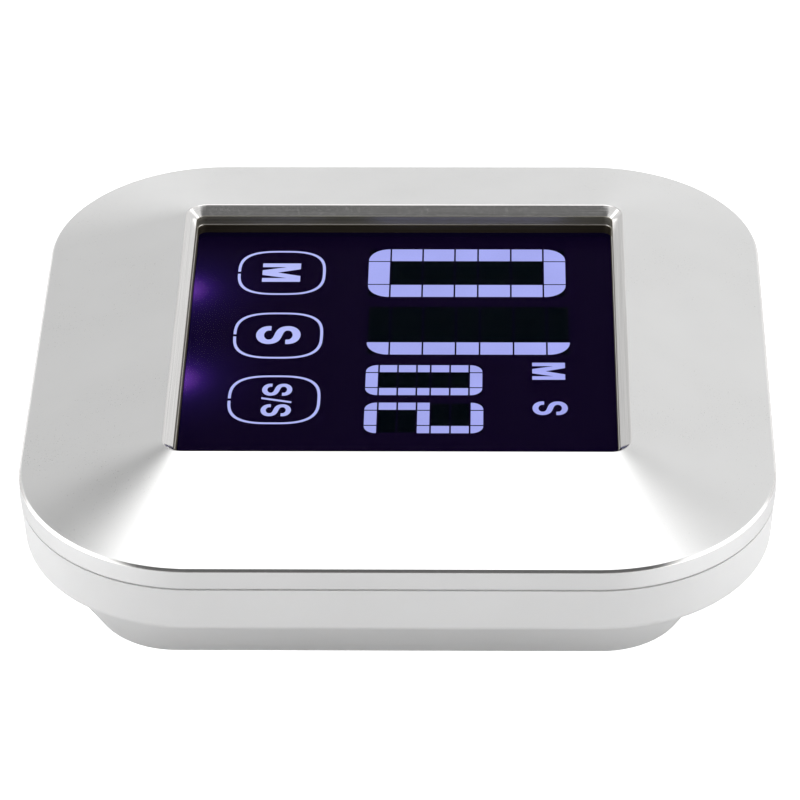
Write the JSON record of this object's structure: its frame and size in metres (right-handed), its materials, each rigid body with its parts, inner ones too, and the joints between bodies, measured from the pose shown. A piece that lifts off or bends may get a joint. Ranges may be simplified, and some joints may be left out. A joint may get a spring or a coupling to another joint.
{
  "type": "countdown timer",
  "caption": "Square touch-screen countdown timer: recessed lit display in a crowned satin frame, white casing, flared pedestal, fold-out stand, battery door and slide switch.",
  "frame": {"origin": "centre of the case, on the plane it rests on", "axes": "+Z out of the display, +Y up for a person reading the display, +X to the reader's right"},
  "size_m": [0.086, 0.086, 0.0225],
  "materials": {
    "satin_metal": "satin with polished edges",
    "black_plastic": "gloss black",
    "cover_glass": "clear, polished",
    "sensor_film": "clear film",
    "black_tape": "matte foam tape",
    "polariser": "dark tinted film",
    "display_glass": "clear, coated",
    "clear_acrylic": "clear acrylic",
    "white_film": "white reflector film",
    "led": "moulded LED",
    "white_plastic": "moulded white ABS, fine texture",
    "black_rubber": "conductive silicone rubber",
    "circuit_board": "green solder mask",
    "black_epoxy": "black epoxy",
    "bright_steel": "nickel-plated steel",
    "black_abs": "moulded black",
    "cell_wrap": "printed foil wrap",
    "brass": "rolled brass",
    "ceramic_disc": "silvered ceramic",
    "lead_wire": "insulated lead"
  },
  "bodies": {
    "case": {"bezel": "satin_metal", "window_frame": "black_plastic", "touch_lens": "cover_glass", "touch_sensor": "sensor_film", "lens_tape": "black_tape", "lcd_front_polariser": "polariser", "lcd_front_glass": "display_glass", "lcd_rear_glass": "display_glass", "lcd_rear_polariser": "polariser", "light_guide": "clear_acrylic", "reflector": "white_film", "backlight_leds": "led", "lcd_holder": "white_plastic", "lcd_contact_strip": "black_rubber", "main_board": "circuit_board", "timer_chip": "black_epoxy", "touch_chip": "black_epoxy", "crystal": "bright_steel", "board_parts": "black_epoxy", "board_screws": "bright_steel", "case_screws": "bright_steel", "switch_body": "bright_steel", "rear_housing": "white_plastic", "cell_upper": "cell_wrap", "cell_lower": "cell_wrap", "link_contact": "bright_steel", "spring_contact": "bright_steel", "plate_contact": "bright_steel", "buzzer_disc": "brass", "buzzer_ceramic": "ceramic_disc", "buzzer_leads": "lead_wire", "magnets": "bright_steel"},
    "battery_door": {"battery_door": "white_plastic"},
    "switch_knob": {"switch_knob": "black_abs"},
    "stand": {"stand": "white_plastic"}
  },
  "joints": [
    {"name": "stand_hinge", "type": "hinge", "parent": "case", "child": "stand", "pos_m": [0, 0.0266, 0.0021], "axis": [1, 0, 0], "range_deg": [0, 70]},
    {"name": "door_slide", "type": "slide", "parent": "case", "child": "battery_door", "axis": [0, -1, 0], "range_m": [0, 0.0285]},
    {"name": "switch_slide", "type": "slide", "parent": "case", "child": "switch_knob", "axis": [1, 0, 0], "range_m": [0, 0.003]}
  ]
}
